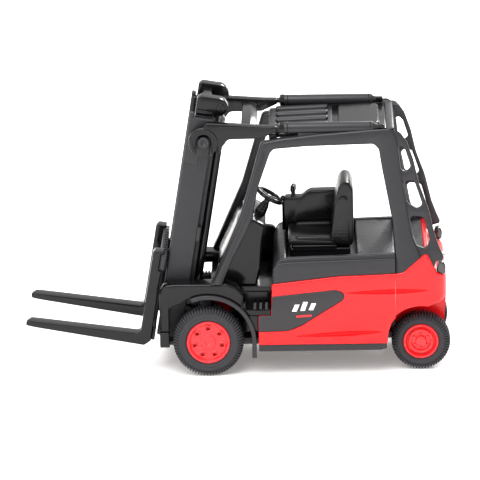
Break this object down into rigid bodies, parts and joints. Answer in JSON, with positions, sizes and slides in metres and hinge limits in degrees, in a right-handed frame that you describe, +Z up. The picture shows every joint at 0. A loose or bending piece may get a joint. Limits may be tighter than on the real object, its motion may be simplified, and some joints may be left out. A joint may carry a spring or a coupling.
{
  "type": "toy forklift",
  "caption": "Die-cast toy counterbalance forklift with red body, black overhead guard, tilting telescopic mast, lifting fork carriage and rolling wheels.",
  "frame": {"origin": "on the ground plane, at the middle of the overall length and width", "axes": "+X forward along the forks, +Y to the truck's left, +Z up"},
  "size_m": [0.0694, 0.0242, 0.0457],
  "materials": {
    "red_paint": "glossy red enamel on die-cast metal",
    "black_plastic": "satin black moulded plastic",
    "black_panel": "smooth black inlay",
    "seat_plastic": "grained dark plastic",
    "red_plastic": "red moulded plastic",
    "steel": "plain drawn wire",
    "tyre_rubber": "soft black rubber",
    "lamp_plastic": "smoke grey lens"
  },
  "bodies": {
    "truck": {"chassis_base": "black_plastic", "toe_block_left": "black_plastic", "toe_block_right": "black_plastic", "mast_bracket": "black_plastic", "body_shell": "red_paint", "counterweight": "red_paint", "side_panel_left": "black_panel", "side_panel_right": "black_panel", "battery_hood": "black_plastic", "cab_floor": "black_plastic", "front_fender_left": "black_plastic", "front_fender_right": "black_plastic", "mudguard_left": "black_plastic", "mudguard_right": "black_plastic", "dashboard": "black_plastic", "steering_column": "black_plastic", "steering_wheel": "black_plastic", "seat_base": "seat_plastic", "seat": "seat_plastic", "armrest_console": "seat_plastic", "control_levers": "black_plastic", "overhead_guard": "black_plastic", "roof_grille": "black_plastic", "roof_panel": "black_plastic", "tilt_barrel_left": "black_plastic", "tilt_barrel_right": "black_plastic", "tail_lamp_left": "lamp_plastic", "tail_lamp_right": "lamp_plastic", "tow_pin": "steel", "base_rivets": "steel"},
    "front_wheels": {"front_axle": "steel", "front_hub_left": "red_plastic", "front_hub_right": "red_plastic", "front_tyre_left": "tyre_rubber", "front_tyre_right": "tyre_rubber"},
    "rear_wheels": {"rear_axle": "steel", "rear_hub_left": "red_plastic", "rear_hub_right": "red_plastic", "rear_tyre_left": "tyre_rubber", "rear_tyre_right": "tyre_rubber"},
    "mast": {"mast_frame": "black_plastic", "mast_pivot_pin": "steel", "tilt_pin_left": "black_plastic", "tilt_pin_right": "black_plastic", "lift_barrel_left": "black_plastic", "lift_barrel_right": "black_plastic"},
    "mast_stage": {"inner_mast": "black_plastic", "lift_rod_left": "steel", "lift_rod_right": "steel"},
    "carriage": {"fork_carriage": "black_plastic", "fork_left": "black_plastic", "fork_right": "black_plastic"},
    "yoke": {"tilt_yoke": "black_plastic"}
  },
  "joints": [
    {"name": "front_axle_spin", "type": "hinge", "parent": "truck", "child": "front_wheels", "pos_m": [0.0048, 0, 0.00575], "axis": [0, 1, 0], "continuous": true},
    {"name": "rear_axle_spin", "type": "hinge", "parent": "truck", "child": "rear_wheels", "pos_m": [-0.0299, 0, 0.0048], "axis": [0, 1, 0], "continuous": true},
    {"name": "mast_tilt", "type": "hinge", "parent": "truck", "child": "mast", "pos_m": [0.0087, 0, 0.009], "axis": [0, 1, 0], "range_deg": [0, 12]},
    {"name": "mast_extend", "type": "slide", "parent": "mast", "child": "mast_stage", "axis": [-0.165, 0, 0.9863], "range_m": [0, 0.014]},
    {"name": "fork_lift", "type": "slide", "parent": "mast_stage", "child": "carriage", "axis": [-0.165, 0, 0.9863], "range_m": [0, 0.022]},
    {"name": "yoke_slide", "type": "slide", "parent": "truck", "child": "yoke", "axis": [1, 0, 0], "range_m": [0, 0.0065]}
  ],
  "couplings": [
    {"joint": "yoke_slide", "follows": "mast_tilt", "m_per_rad": 0.0302}
  ]
}
